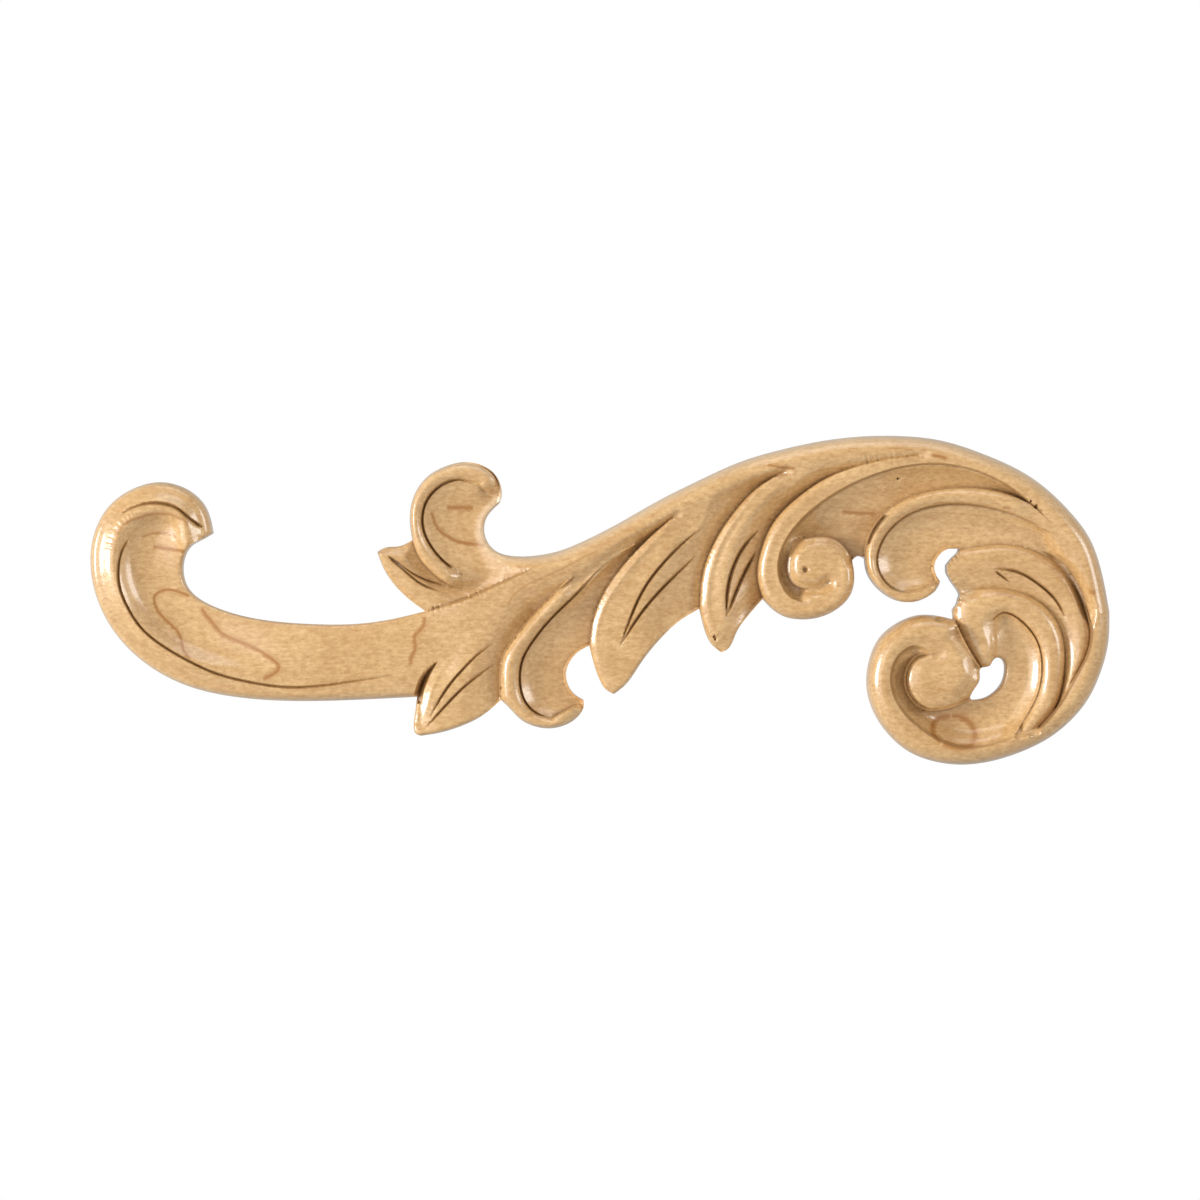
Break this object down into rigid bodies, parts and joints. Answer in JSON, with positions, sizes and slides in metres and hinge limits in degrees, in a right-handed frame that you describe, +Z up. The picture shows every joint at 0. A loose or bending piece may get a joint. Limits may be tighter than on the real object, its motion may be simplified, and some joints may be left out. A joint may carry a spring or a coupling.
{
  "type": "carved acanthus applique",
  "caption": "Scrolled acanthus onlay carved in relief on a flat back: a hooked stem at one end, overlapping leaves, and an open volute with a splintered edge at the other.",
  "frame": {"origin": "the point of the flat back at the middle of the length and of the height", "axes": "+X along the length from the hooked stem to the volute, +Y out of the flat back towards what it is fixed to, +Z up the carving, which faces -Y"},
  "size_m": [0.2551, 0.013, 0.0823],
  "materials": {
    "carved_maple": "satin"
  },
  "bodies": {
    "root": {"acanthus_applique": "carved_maple"}
  },
  "joints": []
}
